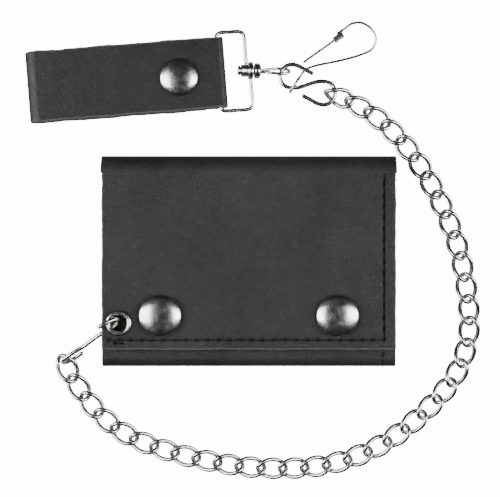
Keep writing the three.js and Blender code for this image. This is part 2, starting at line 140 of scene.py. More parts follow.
def leather_material(name, dark, light, rough_low, rough_high, grain, depth):
    """Dyed hide: pebbled grain over pores, patchy dye and handling shine."""
    mat, nodes, links, shader, coords = new_material(name)
    patches = noise_node(nodes, links, coords, 55, 5, 0.6)
    links.new(ramp(nodes, links, patches, [(0.32, dark), (0.70, light)]), shader.inputs["Base Color"])
    shine = noise_node(nodes, links, coords, 120, 6, 0.65, 0.6)
    links.new(span(nodes, links, shine, 0.3, 0.7, rough_low, rough_high), shader.inputs["Roughness"])
    pebbles = span(nodes, links, cells_node(nodes, links, coords, grain), 0.0, 0.22, 0.0, 1.0)
    pores = noise_node(nodes, links, coords, grain * 3.2, 3, 0.7)
    creases = noise_node(nodes, links, coords, grain * 0.28, 4, 0.6, 1.4)
    normal = bump(nodes, links, creases, 0.5, depth * 1.6)
    normal = bump(nodes, links, pebbles, 0.45, depth, normal)
    links.new(bump(nodes, links, pores, 0.35, depth * 0.5, normal), shader.inputs["Normal"])
    shader.inputs["Specular IOR Level"].default_value = 0.3
    return mat


def raw_edge_material(name, dark, light):
    """Cut edge of the hide: fibrous, matt and a little paler than the dyed face."""
    mat, nodes, links, shader, coords = new_material(name)
    fibres = noise_node(nodes, links, coords, 1900, 6, 0.75, 1.0)
    links.new(ramp(nodes, links, fibres, [(0.30, dark), (0.72, light)]), shader.inputs["Base Color"])
    links.new(span(nodes, links, fibres, 0.2, 0.8, 0.7, 0.95), shader.inputs["Roughness"])
    links.new(bump(nodes, links, fibres, 0.7, 0.00018), shader.inputs["Normal"])
    return mat


def nickel_material(name, light, dark, rough_low, rough_high):
    """Plated wire and caps: hazy patches, hairline scratches and a slight hammered waviness."""
    mat, nodes, links, shader, coords = new_material(name)
    haze = noise_node(nodes, links, coords, 420, 5, 0.6, 0.5)
    links.new(ramp(nodes, links, haze, [(0.34, dark), (0.62, light)]), shader.inputs["Base Color"])
    links.new(span(nodes, links, haze, 0.25, 0.75, rough_high, rough_low), shader.inputs["Roughness"])
    shader.inputs["Metallic"].default_value = 1.0
    stretch = nodes.new("ShaderNodeMapping")
    stretch.inputs["Rotation"].default_value = (0.3, 0.2, 0.7)
    stretch.inputs["Scale"].default_value = (1.0, 22.0, 6.0)
    links.new(coords, stretch.inputs["Vector"])
    scratches = noise_node(nodes, links, stretch.outputs["Vector"], 240, 4, 0.7)
    waves = noise_node(nodes, links, coords, 700, 2, 0.5)
    normal = bump(nodes, links, waves, 0.25, 0.00005)
    links.new(bump(nodes, links, scratches, 0.12, 0.00003, normal), shader.inputs["Normal"])
    return mat


def thread_material(name):
    """Black waxed thread: fine twisted plies."""
    mat, nodes, links, shader, coords = new_material(name)
    ply = nodes.new("ShaderNodeTexWave")
    ply.inputs["Scale"].default_value = 900
    ply.inputs["Distortion"].default_value = 2.0
    links.new(coords, ply.inputs["Vector"])
    strands = ply.outputs["Fac"]
    shade = ramp(nodes, links, strands, [(0.2, (0.001, 0.001, 0.001)), (0.9, (0.006, 0.006, 0.006))])
    links.new(shade, shader.inputs["Base Color"])
    shader.inputs["Specular IOR Level"].default_value = 0.1
    links.new(span(nodes, links, strands, 0, 1, 0.85, 0.7), shader.inputs["Roughness"])
    links.new(bump(nodes, links, strands, 0.5, 0.00006), shader.inputs["Normal"])
    return mat


def vinyl_material(name):
    """Clear window film, slightly wavy."""
    mat, nodes, links, shader, coords = new_material(name)
    film = noise_node(nodes, links, coords, 90, 4, 0.55, 0.8)
    links.new(ramp(nodes, links, film, [(0.3, (0.74, 0.77, 0.77)), (0.7, (0.86, 0.88, 0.88))]),
              shader.inputs["Base Color"])
    links.new(span(nodes, links, film, 0.3, 0.7, 0.08, 0.22), shader.inputs["Roughness"])
    links.new(bump(nodes, links, film, 0.3, 0.0004), shader.inputs["Normal"])
    shader.inputs["Transmission Weight"].default_value = 0.85
    shader.inputs["IOR"].default_value = 1.45
    return mat


def floor_material(name, glow):
    """Grey ground that glows white to camera rays only, so that the glow lights nothing."""
    mat, nodes, links, shader, coords = new_material(name)
    mottle = noise_node(nodes, links, coords, 9, 3, 0.5)
    links.new(ramp(nodes, links, mottle, [(0.3, (0.20, 0.20, 0.20)), (0.7, (0.24, 0.24, 0.24))]),
              shader.inputs["Base Color"])
    shader.inputs["Roughness"].default_value = 0.85
    shader.inputs["Specular IOR Level"].default_value = 0.1
    seen = nodes.new("ShaderNodeLightPath")
    shader.inputs["Emission Color"].default_value = (1, 1, 1, 1)
    emitted = span(nodes, links, seen.outputs["Is Camera Ray"], 0, 1, 0, glow)
    links.new(emitted, shader.inputs["Emission Strength"])
    return mat


HIDE = leather_material(
    "wallet_hide", (0.006, 0.006, 0.006), (0.014, 0.0138, 0.014), 0.46, 0.64, grain=1000, depth=0.00022)
STRAP_HIDE = leather_material(
    "strap_hide", (0.004, 0.004, 0.004), (0.009, 0.0088, 0.009), 0.36, 0.50, grain=1300, depth=0.00012)
LINING = leather_material(
    "lining", (0.006, 0.006, 0.006), (0.012, 0.0115, 0.0115), 0.62, 0.82, grain=2600, depth=0.00005)
RAW = raw_edge_material("raw_edge", (0.004, 0.004, 0.004), (0.10, 0.097, 0.094))
NICKEL = nickel_material("nickel", (0.66, 0.65, 0.62), (0.50, 0.49, 0.47), 0.14, 0.30)
CHAIN_NICKEL = nickel_material("chain_nickel", (0.60, 0.59, 0.57), (0.40, 0.39, 0.38), 0.16, 0.34)
THREAD = thread_material("thread")
VINYL = vinyl_material("vinyl")


# ---- meshes ----
def make_piece(name, points, faces, materials, body=None, nodes=(), slot=None, face_material=None, sharp=()):
    mesh = bpy.data.meshes.new(name)
    mesh.from_pydata((np.asarray(points, float) * MM).tolist(), [], faces)
    for mat in materials:
        mesh.materials.append(mat)
    mesh.polygons.foreach_set("use_smooth", [True] * len(mesh.polygons))
    if face_material is not None:
        mesh.polygons.foreach_set("material_index", face_material)
    if sharp:
        wanted = set(sharp)
        for edge in mesh.edges:
            if tuple(sorted(edge.vertices)) in wanted:
                edge.use_edge_sharp = True
    mesh.update()
    obj = bpy.data.objects.new(name, mesh)
    bpy.context.collection.objects.link(obj)
    if body:
        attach(obj, body)
    if nodes:
        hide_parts(*nodes)
    return obj


def through(points, per=10):
    """Centripetal Catmull-Rom curve through the points."""
    given = [np.asarray(p, float) for p in points]
    given = [2 * given[0] - given[1]] + given + [2 * given[-1] - given[-2]]
    out = []
    for i in range(1, len(given) - 2):
        p0, p1, p2, p3 = given[i - 1:i + 3]
        gaps = ((p0, p1), (p1, p2), (p2, p3))
        d0, d1, d2 = (max(np.linalg.norm(b - a), 1e-9) ** 0.5 for a, b in gaps)
        t1 = ((p1 - p0) / d0 - (p2 - p0) / (d0 + d1) + (p2 - p1) / d1) * d1
        t2 = ((p2 - p1) / d1 - (p3 - p1) / (d1 + d2) + (p3 - p2) / d2) * d1
        for k in range(per):
            t = k / per
            out.append(p1 + t1 * t + (-3 * p1 + 3 * p2 - 2 * t1 - t2) * t * t
                       + (2 * p1 - 2 * p2 + t1 + t2) * t ** 3)
    out.append(given[-2])
    return np.array(out)


def tube(path, radius, sides=16, closed=False):
    """Round wire along the path, with rounded ends when it is open."""
    path = np.asarray(path, float)
    count = len(path)
    if closed:
        tangents = np.roll(path, -1, 0) - np.roll(path, 1, 0)
    else:
        tangents = np.gradient(path, axis=0)
    tangents /= np.linalg.norm(tangents, axis=1)[:, None]
    first = np.cross(tangents[0], (0.31, 0.17, 0.93))
    normals = [first / np.linalg.norm(first)]
    for i in range(1, count):
        n = normals[-1] - tangents[i] * np.dot(normals[-1], tangents[i])
        normals.append(n / np.linalg.norm(n))
    turn = np.zeros(count)
    if closed:
        back = normals[-1] - tangents[0] * np.dot(normals[-1], tangents[0])
        sine = np.dot(np.cross(back, normals[0]), tangents[0])
        turn = np.linspace(0, math.atan2(sine, np.dot(back, normals[0])), count)
    rings = []
    for i in range(count):
        other = np.cross(tangents[i], normals[i])
        angles = np.linspace(0, 2 * math.pi, sides, endpoint=False) + turn[i]
        rings.append((path[i], normals[i], other, tangents[i], angles, radius, 0.0))
    if not closed:
        def dome(ring, sign):
            centre, n, o, t, angles, _, _ = ring
            steps = [math.radians(d) for d in (25, 48, 68, 82)]
            bulge = sign * radius * 0.8
            return [(centre, n, o, t, angles, radius * math.cos(a), bulge * math.sin(a)) for a in steps]
        rings = dome(rings[0], -1)[::-1] + rings + dome(rings[-1], 1)
    points = []
    for centre, n, o, t, angles, r, shift in rings:
        for a in angles:
            points.append(centre + t * shift + (n * math.cos(a) + o * math.sin(a)) * r)
    faces = []
    total = len(rings)
    for i in range(total if closed else total - 1):
        j = (i + 1) % total
        for k in range(sides):
            m = (k + 1) % sides
            faces.append((i * sides + k, i * sides + m, j * sides + m, j * sides + k))
    if not closed:
        faces.append(tuple(range(sides))[::-1])
        faces.append(tuple((total - 1) * sides + k for k in range(sides)))
    return points, faces


def lathe(profile, segments=64):
    """Turned solid from (radius, height) points, bottom to top on the outside."""
    points, rows = [], []
    for r, z in profile:
        if r < 1e-6:
            rows.append([len(points)] * segments)
            points.append((0, 0, z))
        else:
            rows.append(list(range(len(points), len(points) + segments)))
            for k in range(segments):
                a = 2 * math.pi * k / segments
                points.append((r * math.cos(a), r * math.sin(a), z))
    faces = []
    for low, high in zip(rows, rows[1:]):
        for k in range(segments):
            m = (k + 1) % segments
            corners = [low[k], low[m], high[m], high[k]]
            face = tuple(c for i, c in enumerate(corners) if c != corners[i - 1])
            if len(face) > 2:
                faces.append(face)
    return points, faces


def merge(*parts):
    points, faces = [], []
    for p, f in parts:
        base = len(points)
        points.extend(p)
        faces.extend(tuple(base + i for i in face) for face in f)
    return points, faces


def moved(part, matrix):
    points, faces = part
    return [tuple(matrix @ Vector(p)) for p in points], faces


def ripple(values, scale, seed):
    """Smooth, repeatable irregularity between about -1 and 1."""
    return (np.sin(values / scale + seed) * 0.5 + np.sin(values / scale * 2.3 + seed * 2.1) * 0.3
            + np.sin(values / scale * 5.1 + seed * 3.7) * 0.2)


def sheet(line, thick, across, place, rounding=0.42, ends=(True, True), shape=None, wave=0.0, seed=0.0):
    """A leather sheet: its centreline in (along, up), swept across, with softly rounded cut edges.

    place maps (across, along, up) to the object.
    shape(x, y, h) gives an outward lift of each point, in mm.
    Returns points, faces, each face's material (0 face, 1 cut edge) and the edges kept sharp at flat ends.
    """
    line = np.asarray(line, float)
    steps = np.linalg.norm(np.diff(line, axis=0), axis=1)
    s = np.concatenate([[0], np.cumsum(steps)])
    tangent = np.gradient(line, axis=0)
    tangent /= np.linalg.norm(tangent, axis=1)[:, None]
    normal = np.stack([-tangent[:, 1], tangent[:, 0]], 1)
    radius = thick * rounding
    quarter = [math.radians(d) for d in (0, 22, 45, 68)]
    sections = []
    if ends[0]:
        sections += [(0, radius * (1 - math.cos(a)), radius * (1 - math.sin(a))) for a in quarter]
    inside = [i for i in range(len(line)) if (not ends[0] or s[i] > radius * 1.01)
              and (not ends[1] or s[-1] - s[i] > radius * 1.01)]
    if ends[0]:
        sections.append((0, radius, 0))
    sections += [(i, 0, 0) for i in inside]
    if ends[1]:
        sections.append((-1, radius, 0))
        sections += [(-1, radius * (1 - math.cos(a)), radius * (1 - math.sin(a))) for a in quarter[::-1]]
    half = thick / 2
    left, right = across[0], across[-1]
    top_x = np.clip(across, left + radius, right - radius)
    loop = [(left + radius * (1 - math.cos(a)), half - radius * (1 - math.sin(a))) for a in quarter]
    upper = loop + [(x, half) for x in top_x] + [(left + right - x, h) for x, h in loop[::-1]]
    around = upper + [(x, -h) for x, h in upper[::-1]]
    edge_count, wide = len(loop), len(across)
    around_x, around_h = np.array(around).T
    centre, reach = (left + right) / 2, (right - left) / 2
    points = []
    for index, depth, inset in sections:
        t, n = tangent[index], normal[index]
        shift = depth if index == 0 else -depth
        base = line[index] + t * shift
        at = s[index] + shift
        X = centre + (around_x - centre) * (reach - inset) / reach
        H = around_h * (half - inset) / half
        along = np.zeros(len(X))
        if wave:
            near = np.clip((np.abs(X - centre) - reach + 4) / 4, 0, 1) ** 2
            X = X + np.sign(X - centre) * near * wave * ripple(np.full(len(X), at), 4.3, seed)
            for k, end in ((0, 0.0), (1, s[-1])):
                if ends[k]:
                    near_end = max(0.0, 1 - abs(at - end) / 3) ** 2
                    along = along + near_end * wave * ripple(X, 5.1, seed + 1 + k)
        Y = base[0] + n[0] * H + t[0] * along
        Z = base[1] + n[1] * H + t[1] * along
        if shape is not None:
            lift = shape(X, Y, H)
            Y = Y + n[0] * lift
            Z = Z + n[1] * lift
        points.extend(zip(X, Y, Z))
    size_around = len(around)
    faces, kinds, sharp = [], [], []
    for i in range(len(sections) - 1):
        at_end = (ends[0] and i < len(quarter)) or (ends[1] and i >= len(sections) - 1 - len(quarter))
        for k in range(size_around):
            m = (k + 1) % size_around
            faces.append((i * size_around + k, i * size_around + m, (i + 1) * size_around + m,
                          (i + 1) * size_around + k))
            on_face = edge_count <= k < edge_count + wide - 1 or (
                size_around - edge_count - wide <= k < size_around - edge_count - 1)
            kinds.append(1 if at_end or not on_face else 0)
    for row, end in ((0, 0), (len(sections) - 1, 1)):
        base = row * size_around
        for k in range(size_around // 2 - 1):
            quad = (base + k, base + size_around - 1 - k, base + size_around - 2 - k, base + k + 1)
            faces.append(quad if end == 0 else quad[::-1])
            kinds.append(1)
        if not ends[end]:
            for k in range(size_around):
                sharp.append(tuple(sorted((base + k, base + (k + 1) % size_around))))
    placed = [tuple(place @ Vector(p)) for p in points]
    return placed, faces, kinds, sharp


def arc(centre, radius, start, stop, steps=16):
    angles = np.radians(np.linspace(start, stop, steps + 1))
    return [(centre[0] + radius * math.cos(a), centre[1] + radius * math.sin(a)) for a in angles]


def straight(start, stop, pitch=1.0):
    count = max(2, int(math.dist(start, stop) / pitch))
    return [tuple(np.array(start) + (np.array(stop) - np.array(start)) * k / count) for k in range(count + 1)]


def add_sheet(name, line, thick, across, place, face, body=None, nodes=(), slot=None, edge=None, **options):
    points, faces, kinds, sharp = sheet(line, thick, across, place, **options)
    obj = make_piece(name, points, faces, [face, edge or RAW], body, nodes, slot, kinds, sharp)
    turn_outward(obj)
    return obj


def turn_outward(obj):
    """Turns the mesh's faces outward."""
    mesh = obj.data
    volume = 0.0
    for polygon in mesh.polygons:
        corner = [mesh.vertices[v].co for v in polygon.vertices]
        for a, b in zip(corner[1:], corner[2:]):
            volume += corner[0].dot(a.cross(b))
    if volume < 0:
        mesh.flip_normals()


def cut_hole(obj, x, y, radius, low, high):
    """Cuts a round hole through a sheet between two heights."""
    profile = [(0, low), (radius, low), (radius, high), (0, high)]
    points, faces = moved(lathe(profile, 48), Matrix.Translation((x, y, 0)))
    mesh = bpy.data.meshes.new("punch")
    mesh.from_pydata((np.asarray(points) * MM).tolist(), [], faces)
    tool = bpy.data.objects.new("punch", mesh)
    bpy.context.collection.objects.link(tool)
    modifier = obj.modifiers.new("hole", "BOOLEAN")
    modifier.operation, modifier.object, modifier.solver = "DIFFERENCE", tool, "EXACT"
    bpy.context.view_layer.update()
    shaped = obj.evaluated_get(bpy.context.evaluated_depsgraph_get())
    result = bpy.data.meshes.new_from_object(shaped)
    obj.modifiers.clear()
    obj.data = result
    bpy.data.objects.remove(tool)


WHOLE = Matrix.Identity(4)

# ---- wallet leather ----
back_low = np.array(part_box("outer_back")[0]) / MM
flap_low, flap_high = (np.array(c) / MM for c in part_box("outer_flap"))
HALF_WIDTH = flap_high[0]
FLAP_TOP = flap_high[2]
FREE_EDGE = flap_low[1]
HIDE_THICK = 1.4
FOLD_RADIUS = FLAP_TOP / 2
FOLD_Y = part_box("outer_spine")[1].y / MM - FOLD_RADIUS
FOLD_CENTRE = (FOLD_Y, FOLD_RADIUS)
FOLD_MID = FOLD_RADIUS - HIDE_THICK / 2
PANEL_TOP = 7.9
PANEL_EDGE = 30.0
BOTTOM_CENTRE = (back_low[1] + PANEL_TOP / 2, PANEL_TOP / 2)

STITCH_X = 49.8
STITCH_Y = -28.9
STITCH_PITCH = 4.1
EDGE_STITCH_PITCH = 4.05
SEAM_DEPTH = 0.16
side_holes = [(STITCH_X, y) for y in np.arange(STITCH_Y, FOLD_Y + 0.8, STITCH_PITCH)]
edge_holes = [(x, STITCH_Y) for x in np.arange(STITCH_X, -HALF_WIDTH, -EDGE_STITCH_PITCH)]
tack_holes = [(-49.2, -29.9), (-46.6, -30.1)]
flap_holes = np.array(side_holes + edge_holes[1:] + tack_holes)
EYELET = (-47.9, -22.7)
EYELET_HOLE = 3.9
PUNCH_FROM, PUNCH_TO = 8, 16
CAPS = [(-32.6, -20.0), (32.6, -20.0)]


def swell(distance, width):
    """Soft bump, 1 high where the distance is 0."""
    return np.exp(-(distance / width) ** 2)


def flap_lift(x, y, h):
    """Upper face of the flap: dents at the stitch holes, the pulled-in seams, soft puffing between them."""
    lift = 0.10 * ripple(x, 19.0, 0.7) * ripple(y, 15.0, 1.9)
    lift = lift - SEAM_DEPTH * swell(x - STITCH_X, 0.8) * (y > STITCH_Y - 1)
    lift = lift + 0.14 * swell(x - STITCH_X + 3.4, 1.8) + 0.10 * swell(x - STITCH_X - 2.4, 1.2)
    lift = lift - 0.14 * swell(y - STITCH_Y, 0.8) * (x < STITCH_X + 1)
    lift = lift + 0.08 * swell(y - STITCH_Y - 2.8, 1.4)
    for hole_x, hole_y in flap_holes:
        along_side = abs(hole_x - STITCH_X) < 0.1
        wide, tall = (0.40, 0.72) if along_side else (0.72, 0.40)
        lift = lift - 1.0 * np.exp(-((x - hole_x) / wide) ** 4 - ((y - hole_y) / tall) ** 4)
    for cap_x, cap_y in CAPS:
        lift = lift - 0.22 * swell(np.hypot(x - cap_x, y - cap_y) - 7.2, 2.2)
    lift = lift - 0.15 * swell(np.hypot(x - EYELET[0], y - EYELET[1]) - 4.0, 1.6)
    fade = np.clip((FOLD_Y - y) / 3, 0, 1)
    return np.where(h > 0, lift * fade, 0)


across_fine = np.linspace(-HALF_WIDTH, HALF_WIDTH, 250)
across_plain = np.linspace(-HALF_WIDTH, HALF_WIDTH, 60)
Z_MID = FLAP_TOP - HIDE_THICK / 2
flap = add_sheet(
    "flap_hide", straight((FREE_EDGE, Z_MID), (FOLD_Y, Z_MID), 0.45), HIDE_THICK, across_fine, WHOLE, HIDE,
    "flap", ["outer_flap"], "leather", ends=(True, False), shape=flap_lift, wave=0.16, seed=2.0)
cut_hole(flap, *EYELET, EYELET_HOLE, PUNCH_FROM, PUNCH_TO)

fold_upper = add_sheet(
    "fold_upper", arc(FOLD_CENTRE, FOLD_MID, 90, 0, 22), -HIDE_THICK, across_plain, WHOLE, HIDE,
    nodes=["outer_spine"], slot="leather", ends=(False, False))
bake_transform(fold_upper)
fold_lower = add_sheet(
    "fold_lower", arc(FOLD_CENTRE, FOLD_MID, 0, -90, 22), -HIDE_THICK, across_plain, WHOLE, HIDE,
    nodes=["outer_spine"], slot="leather", ends=(False, False))
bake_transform(fold_lower)

bottom_mid = PANEL_TOP / 2 - HIDE_THICK / 2
back_mid, panel_mid = HIDE_THICK / 2, PANEL_TOP - HIDE_THICK / 2
back_line = (straight((FOLD_Y, back_mid), (BOTTOM_CENTRE[0], back_mid), 1.2)[:-1]
             + arc(BOTTOM_CENTRE, bottom_mid, -90, -270, 28)[:-1]
             + straight((BOTTOM_CENTRE[0], panel_mid), (PANEL_EDGE, panel_mid), 1.0))
add_sheet(
    "back_hide", back_line, -HIDE_THICK, across_plain, WHOLE, HIDE, "wallet", ["outer_back"], "leather",
    ends=(False, True), wave=0.12, seed=5.0, rounding=0.40)


# ---- lining, pockets and window ----
LINING_THICK = 0.6
LINING_RADIUS = 1.95


def add_lining(name, line, thick, width, body, node, face=LINING, slot="lining", **options):
    edges = np.linspace(-width / 2, width / 2, 40)
    return add_sheet(name, line, thick, edges, WHOLE, face, body, [node], slot, edge=face, **options)


def add_flat_lining(name, node, body, pitch=1.5, **options):
    """A flat leaf that fills the node's box."""
    low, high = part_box(node)
    mid_z = (low.z + high.z) / 2 / MM
    line = straight((low.y / MM, mid_z), (high.y / MM, mid_z), pitch)
    return add_lining(name, line, (high.z - low.z) / MM, (high.x - low.x) / MM, body, node, **options)


flap_lining = add_flat_lining("flap_lining", "lining_flap", "flap", 1.2, wave=0.1, seed=7.0)
cut_hole(flap_lining, *EYELET, EYELET_HOLE, PUNCH_FROM, PUNCH_TO)
lining_low = PANEL_TOP / 2 - LINING_RADIUS
lining_high = PANEL_TOP - lining_low
lining_line = (straight((FOLD_Y, lining_low), (BOTTOM_CENTRE[0], lining_low), 1.5)[:-1]
               + arc(BOTTOM_CENTRE, LINING_RADIUS, -90, -270, 20)[:-1]
               + straight((BOTTOM_CENTRE[0], lining_high), (PANEL_EDGE - 0.5, lining_high), 1.5))
add_lining("back_lining", lining_line, LINING_THICK, 2 * HALF_WIDTH - 1, "wallet", "lining_back")
for node in ("card_pocket_upper", "card_pocket_lower"):
    add_flat_lining(node + "_leaf", node, "wallet")
add_flat_lining("id_window_leaf", "id_window", "wallet", face=VINYL, slot="window")


# ---- stitching ----
THREAD_RADIUS = 0.21
THREAD_SINK = 0.35


def stitches(holes, heights, normal):
    """Thread from hole to hole: each stitch dips into its holes and lies on the leather between them."""
    crown = 0.12
    parts = []
    for a, b, za, zb in zip(holes, holes[1:], heights, heights[1:]):
        p, q = np.array((*a, za), float), np.array((*b, zb), float)
        out = np.asarray(normal, float)
        way = q - p
        path = through([p - out * THREAD_SINK, p + way * 0.08 - out * 0.02, p + way * 0.25 + out * crown,
                        p + way * 0.5 + out * (crown + 0.04), p + way * 0.75 + out * crown,
                        q - way * 0.08 - out * 0.02, q - out * THREAD_SINK], 3)
        parts.append(tube(path, THREAD_RADIUS, 8))
    return merge(*parts)


top_z = FLAP_TOP - SEAM_DEPTH
seam = merge(
    stitches(side_holes, [top_z] * len(side_holes), (0, 0, 1)),
    stitches(edge_holes, [top_z] * len(edge_holes), (0, 0, 1)),
    stitches([tack_holes[0], (-47.9, -30.0), tack_holes[1]], [FLAP_TOP - 0.02] * 3, (0, 0, 1)))
make_piece("flap_stitching", *seam, [THREAD], "flap", slot="lining")
under_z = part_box("lining_flap")[0].z / MM
under = merge(stitches(side_holes, [under_z] * len(side_holes), (0, 0, -1)),
              stitches(edge_holes, [under_z] * len(edge_holes), (0, 0, -1)))
make_piece("flap_lining_stitching", *under, [THREAD], "flap", slot="lining")

fold_angles = [-262, -218, -176]
fold_path = [(BOTTOM_CENTRE[0] + PANEL_TOP / 2 * math.cos(math.radians(a)),
              BOTTOM_CENTRE[1] + PANEL_TOP / 2 * math.sin(math.radians(a))) for a in fold_angles]
panel_stitches = []
front_holes = [(PANEL_EDGE - 2.0 - STITCH_PITCH * k, PANEL_TOP - 0.05) for k in range(16)] + fold_path
for (ya, za), (yb, zb) in zip(front_holes, front_holes[1:]):
    p, q = np.array((STITCH_X, ya, za)), np.array((STITCH_X, yb, zb))
    out = np.array((0, -(zb - za), yb - ya))
    out = out / np.linalg.norm(out) * (-1 if (yb - ya) < 0 else 1)
    out = out if out[2] > -0.2 else -out
    path = through([p - out * THREAD_SINK, p + (q - p) * 0.25 + out * 0.16, p + (q - p) * 0.5 + out * 0.3,
                    p + (q - p) * 0.75 + out * 0.16, q - out * THREAD_SINK], 4)
    panel_stitches.append(tube(path, THREAD_RADIUS, 8))
make_piece("panel_stitching", *merge(*panel_stitches), [THREAD], "wallet", slot="lining")


# ---- snaps and eyelet ----
def cap_profile(radius, dome, top, bottom, socket):
    """Domed cap with its post, and the socket flange under the leather."""
    rim = top + 0.3
    crown = [(radius * math.sin(a), rim + 0.35 + dome * (math.cos(a) ** 0.9))
             for a in np.radians(np.linspace(80, 4, 22))]
    inside = [(0, bottom + 0.8), (2.2, bottom + 0.8), (2.5, bottom + 0.6), (2.5, socket + 0.15),
              (2.65, socket)]
    flange = [(5.0, socket), (5.2, socket + 0.2), (5.2, bottom - 0.45), (5.05, bottom - 0.3),
              (3.2, bottom - 0.3)]
    edge = [(3.2, rim), (radius - 0.5, rim), (radius - 0.12, rim + 0.1), (radius, rim + 0.36),
            (radius - 0.03, rim + 0.55)]
    return inside + flange + edge + crown + [(0, rim + 0.35 + dome)]


def stud_profile(top, post, flange, nub):
    """Riveted post, flange and the knob that the socket grips."""
    return [(0, post), (1.5, post), (1.5, top + 0.3), (4.8, top + 0.3), (5.0, top + 0.42),
            (5.0, top + flange + 0.2), (4.8, top + flange + 0.3), (2.4, top + flange + 0.3),
            (1.9, top + flange + 0.45), (1.85, nub - 1.1), (2.1, nub - 0.6), (2.05, nub - 0.3),
            (1.6, nub), (0, nub)]


def eyelet_profile(top, under):
    """Closed outline: the washer below, the barrel and the rolled rim above."""
    roll = [(3.95 + 0.85 * math.cos(a), top + 0.32 + 0.72 * math.sin(a))
            for a in np.radians(np.linspace(-10, 190, 22))]
    washer = [(3.02, under - 0.6), (3.2, under - 0.75), (4.5, under - 0.75), (4.7, under - 0.55),
              (4.7, under - 0.42), (4.55, under - 0.3), (3.5, under - 0.3)]
    return washer + [(3.5, top + 0.3), (4.6, top + 0.3)] + roll + [(3.0, top), washer[0]]


FLAP_UNDERSIDE = 11.0
for side, (x, y) in zip(("left", "right"), CAPS):
    place = Matrix.Translation((x, y, 0))
    profile = cap_profile(radius=7.85, dome=2.3, top=FLAP_TOP, bottom=FLAP_UNDERSIDE, socket=9.6)
    cap = moved(lathe(profile, 96), place)
    make_piece("snap_" + side, *cap, [NICKEL], "flap", ["snap_cap_" + side], "nickel")
    profile = stud_profile(top=PANEL_TOP, post=PANEL_TOP - 1.3, flange=0.7, nub=10.9)
    stud = moved(lathe(profile, 48), place)
    make_piece("stud_" + side, *stud, [NICKEL], "wallet", ["snap_stud_" + side], "nickel")
rim = moved(lathe(eyelet_profile(FLAP_TOP, FLAP_UNDERSIDE), 72), Matrix.Translation((*EYELET, 0)))
make_piece("eyelet_rim", *rim, [NICKEL], "flap", ["eyelet"], "nickel")

# ---- wallet hook ----
HOOK_WIRE = 0.82
azimuth, tilt = math.radians(211), math.radians(20)
out_way = np.array((math.cos(azimuth), math.sin(azimuth), 0))
side_way = np.array((math.sin(azimuth), -math.cos(azimuth), 0))
up_way = np.array((0, 0, math.cos(tilt))) + side_way * math.sin(tilt)
HOOK_ROUTE = [
    (6.6, 16.1), (4.4, 16.2), (2.4, 15.7), (0.1, 14.4), (-0.7, 12.3), (0.0, 10.2), (2.0, 9.1), (4.6, 8.95),
    (8.0, 8.9), (12.0, 8.1), (16.0, 7.0), (20.0, 6.9), (22.6, 6.7), (25.2, 5.4), (26.1, 3.6), (25.1, 1.8),
    (22.8, 0.95), (20.6, 1.0), (18.6, 1.7),
]
HOOK_PIVOT_Z = 8.95
route = [np.array((*EYELET, HOOK_PIVOT_Z)) + out_way * a + up_way * (b - HOOK_PIVOT_Z) for a, b in HOOK_ROUTE]
make_piece("wallet_s_hook", *tube(through(route, 8), HOOK_WIRE, 18), [NICKEL], "wallet_hook",
           ["s_hook_wallet"], "nickel")

# ---- strap hook ----
CURL, HALF_SPAN = 4.5, 6.5
half = [(-0.4, CURL, 0), (-HALF_SPAN * 0.55, CURL, 0)]
for degrees in np.arange(90, 260.1, 34):
    a = math.radians(degrees)
    half.append((-HALF_SPAN + CURL * math.cos(a), CURL * math.sin(a), 0))
half.append((-HALF_SPAN * 0.5, -CURL * 0.68, 0))
whole = half + [(-x, -y, z) for x, y, z in half[::-1]]
place = Matrix.Translation((22.0, 66.0, 3.6)) @ Matrix.Rotation(math.radians(-28), 4, "Z")
make_piece("strap_s_hook", *moved(tube(through(whole, 7), HOOK_WIRE, 18), place), [NICKEL], "strap_hook",
           ["s_hook_strap"], "nickel")


# ---- chain ----
# A link's half length and half width at the middle of its wire, and the wire's radius.
LINK_REACH, LINK_HALF_WIDTH, LINK_WIRE = 5.3, 3.35, 0.85
LINK_SQUARENESS = 2.25
LINK_TWIST = math.radians(-45)


def link_path(count=56):
    """Rounded oval whose plane turns evenly from end to end."""
    t = np.linspace(0, 2 * math.pi, count, endpoint=False)
    power = 2 / LINK_SQUARENESS
    x = LINK_REACH * np.sign(np.cos(t)) * np.abs(np.cos(t)) ** power
    y = LINK_HALF_WIDTH * np.sign(np.sin(t)) * np.abs(np.sin(t)) ** power
    turn = LINK_TWIST * x / LINK_REACH
    return np.stack([x, y * np.cos(turn), y * np.sin(turn)], 1)


LINK = tube(link_path(), LINK_WIRE, 14, closed=True)
chain_nodes = sorted(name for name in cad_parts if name.startswith("chain_link_"))
for node in chain_nodes:
    corners = np.array([v.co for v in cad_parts[node].data.vertices]) / MM
    corners = np.unique(corners.round(4), axis=0)
    centre = corners.mean(0)
    _, _, axes = np.linalg.svd(corners - centre)
    if np.linalg.det(axes) < 0:
        axes[2] = -axes[2]
    place = Matrix(axes.T.tolist()).to_4x4()
    place.translation = Vector(centre)
    number = node.rsplit("_", 1)[1]
    make_piece("link_wire_" + number, *moved(LINK, place), [CHAIN_NICKEL], "link_" + number, [node], "nickel")


